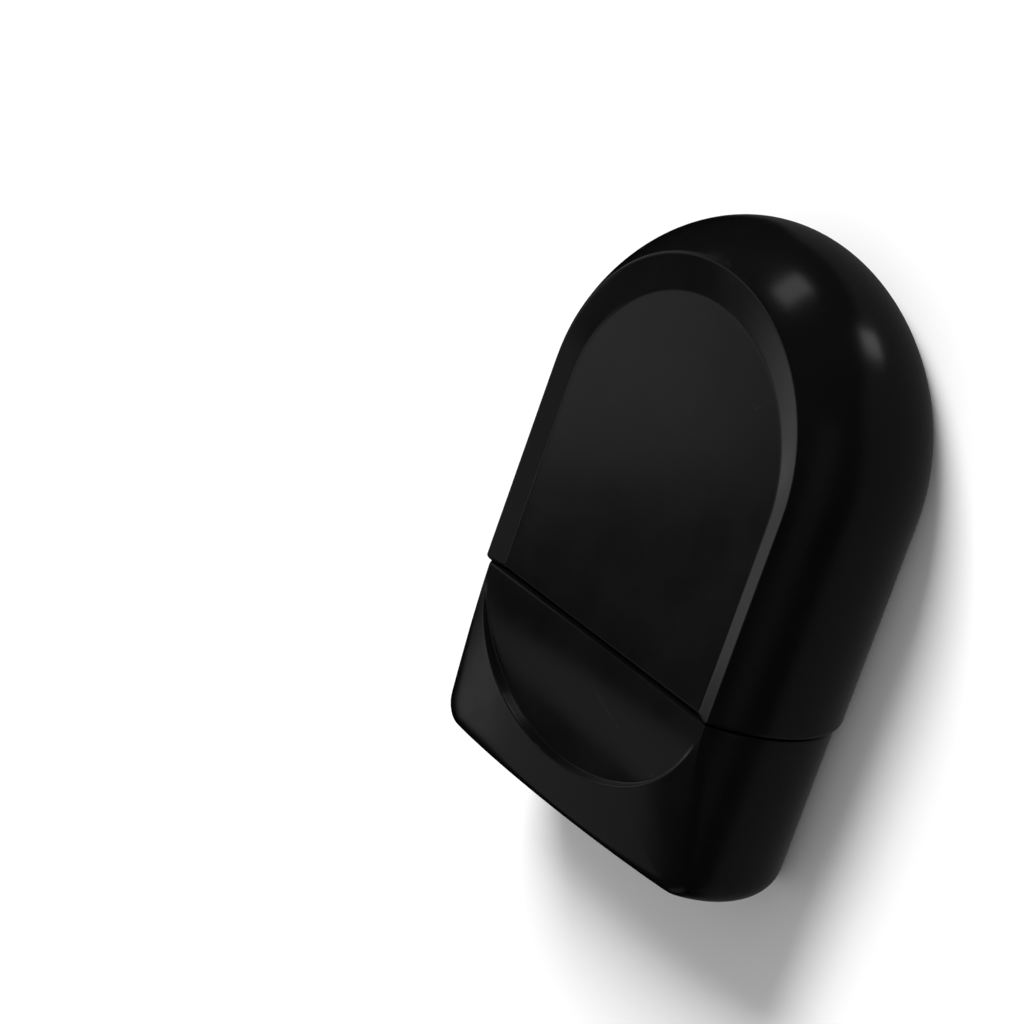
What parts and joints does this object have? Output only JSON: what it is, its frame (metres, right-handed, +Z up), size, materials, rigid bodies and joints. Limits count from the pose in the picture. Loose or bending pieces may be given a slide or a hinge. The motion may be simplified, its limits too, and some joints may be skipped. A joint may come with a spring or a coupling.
{
  "type": "usb flash drive",
  "caption": "Small capped USB flash drive: a rounded black grip on a bare steel plug, under a round-ended black pull-off cap.",
  "frame": {"origin": "under the middle of the closed drive's box, on the surface it lies on", "axes": "+X along the plug, from the grip towards the cap's round end; +Z up, out of the front face with the sunk panel; Y across the width"},
  "size_m": [0.0246, 0.0164, 0.0072],
  "materials": {
    "gloss_black": "polished black injection-moulded plastic",
    "collar_black": "plain black moulded plastic",
    "plug_steel": "satin nickel-plated sheet steel",
    "tray_charcoal": "charcoal moulded plastic",
    "board_olive": "dark olive solder mask on a thin laminate",
    "epoxy_black": "black moulding compound",
    "contact_gold": "gold-plated contact",
    "can_nickel": "pressed metal can",
    "ceramic_tan": "ceramic chip capacitor",
    "resistor_black": "thick-film chip resistor",
    "ferrite_grey": "ferrite chip bead"
  },
  "bodies": {
    "drive": {"grip_shell": "gloss_black", "plug_collar": "collar_black", "plug_shell": "plug_steel", "carrier_tray": "tray_charcoal", "circuit_board": "board_olive", "memory_block": "epoxy_black", "contact_power": "contact_gold", "contact_data_minus": "contact_gold", "contact_data_plus": "contact_gold", "contact_ground": "contact_gold", "crystal": "can_nickel", "ferrite_bead": "ferrite_grey", "capacitor_1": "ceramic_tan", "capacitor_2": "ceramic_tan", "capacitor_3": "ceramic_tan", "capacitor_4": "ceramic_tan", "resistor_1": "resistor_black", "resistor_2": "resistor_black", "resistor_3": "resistor_black"},
    "cap": {"cap_shell": "gloss_black"}
  },
  "joints": [
    {"name": "cap_pull", "type": "slide", "parent": "drive", "child": "cap", "axis": [1, 0, 0], "range_m": [0, 0.02]}
  ]
}
